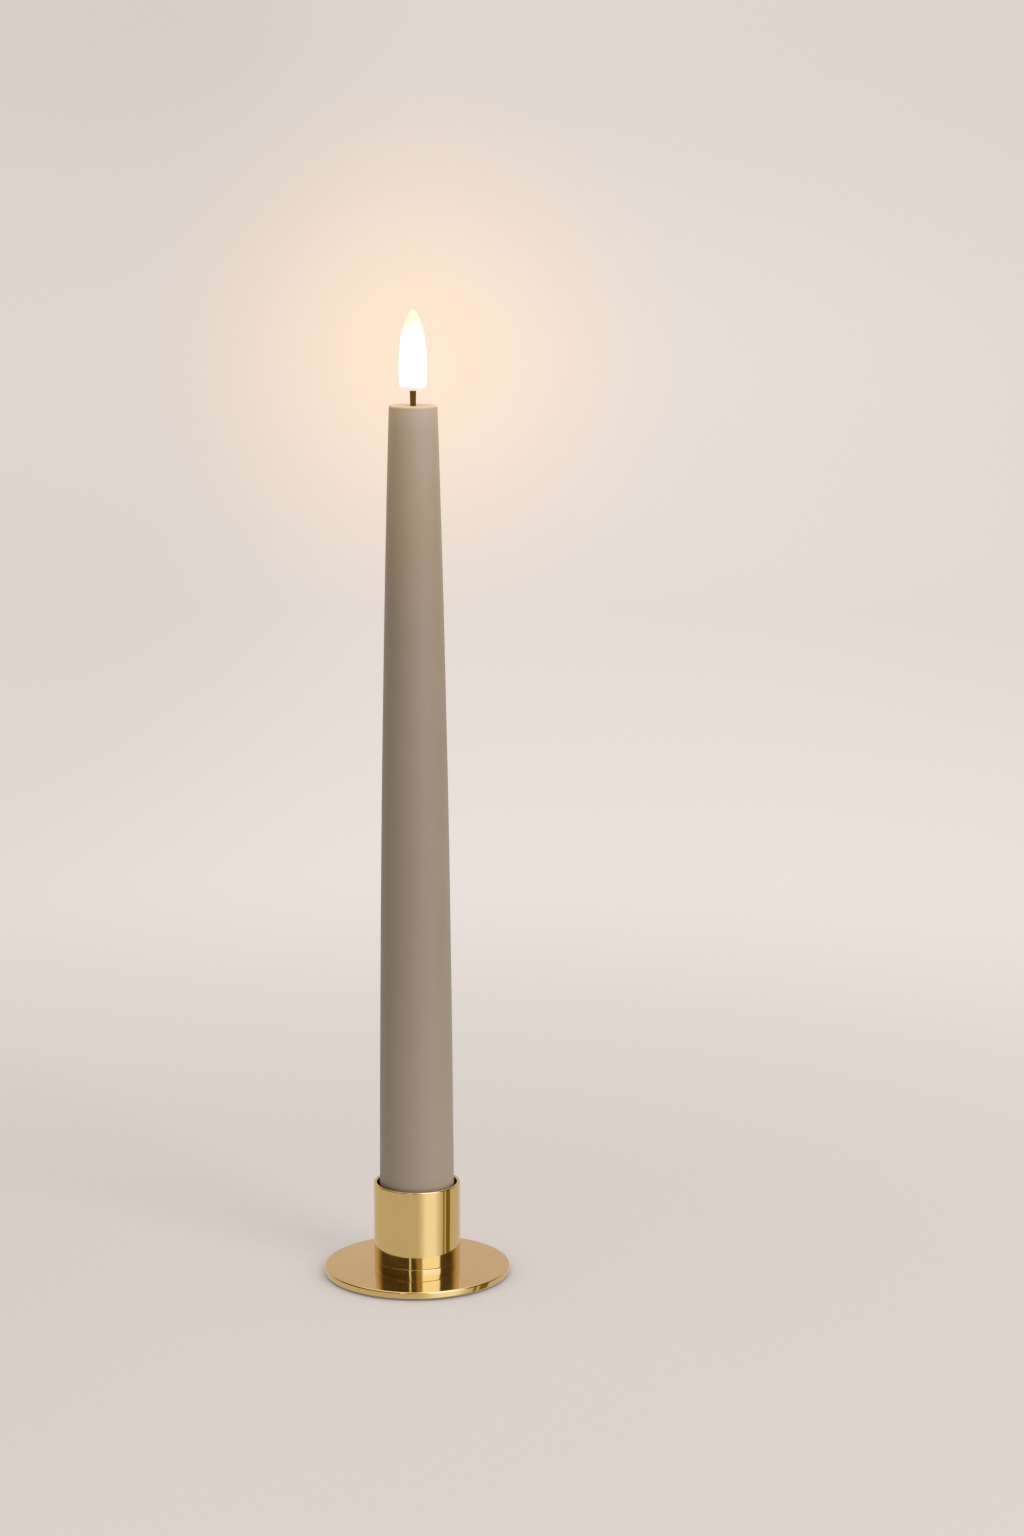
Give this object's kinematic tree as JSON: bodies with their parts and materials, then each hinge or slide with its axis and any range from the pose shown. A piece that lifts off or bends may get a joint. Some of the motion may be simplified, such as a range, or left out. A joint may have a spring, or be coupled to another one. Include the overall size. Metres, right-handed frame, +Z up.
{
  "type": "flameless led candle",
  "caption": "Tapered flameless LED candle with a lit moulded flame on a short wick, standing in a disc holder with a straight cup.",
  "frame": {"origin": "middle of the holder's underside, on the surface it stands on", "axes": "+Z up along the candle, -Y towards the open side of the battery cradle"},
  "size_m": [0.054, 0.054, 0.2805],
  "materials": {
    "polished_brass": "polished, turned",
    "black_foam": "fine cellular foam, matt",
    "zinc_steel": "bright zinc plated",
    "taupe_wax": "real wax, satin, faintly mottled and translucent",
    "taupe_plastic": "fine moulded texture",
    "white_plastic": "moulded, satin",
    "black_plastic": "moulded, satin",
    "black_rubber": "smooth rubber",
    "green_board": "solder mask",
    "nickel": "nickel plated spring steel and brass",
    "battery_sleeve": "printed sleeve in two plain colours",
    "ceramic_chip": "matt ceramic",
    "red_insulation": "silicone insulation",
    "dark_wick": "dark braided sleeve, slightly singed",
    "clear_epoxy": "clear cast epoxy",
    "frosted_flame": "frosted translucent, lit from inside"
  },
  "bodies": {
    "holder": {"holder_disc": "polished_brass", "base_pad": "black_foam", "cup_plug": "polished_brass", "cup_tube": "polished_brass", "holder_screw": "zinc_steel"},
    "battery_unit": {"foot_cap": "taupe_plastic", "foot_screw_front": "zinc_steel", "foot_screw_back": "zinc_steel", "foot_o_ring": "black_rubber", "switch_board": "green_board", "switch_body": "nickel", "control_chip": "black_plastic", "timer_crystal": "nickel", "board_capacitor": "ceramic_chip", "board_resistor": "black_plastic", "battery_spring": "nickel", "lower_battery": "battery_sleeve", "upper_battery": "battery_sleeve", "battery_cradle": "white_plastic", "tip_contact": "nickel", "return_strip": "nickel"},
    "switch": {"switch_knob": "black_plastic"},
    "candle_shell": {"wax_shell": "taupe_wax", "core_tube": "white_plastic", "contact_block": "white_plastic", "centre_contact": "nickel", "ring_contact": "nickel", "positive_wire": "red_insulation", "negative_wire": "black_rubber", "positive_sleeve": "red_insulation", "negative_sleeve": "black_rubber", "positive_lead": "nickel", "negative_lead": "nickel", "led": "clear_epoxy", "flame_socket": "white_plastic", "wick": "dark_wick", "flame_plug": "white_plastic", "flame": "frosted_flame"}
  },
  "joints": [
    {"name": "candle_lift", "type": "slide", "parent": "holder", "child": "battery_unit", "axis": [0, 0, 1], "range_m": [0, 0.03]},
    {"name": "shell_draw", "type": "slide", "parent": "battery_unit", "child": "candle_shell", "axis": [0, 0, 1], "range_m": [0, 0.085]},
    {"name": "switch_slide", "type": "slide", "parent": "battery_unit", "child": "switch", "axis": [1, 0, 0], "range_m": [0, 0.004]}
  ]
}
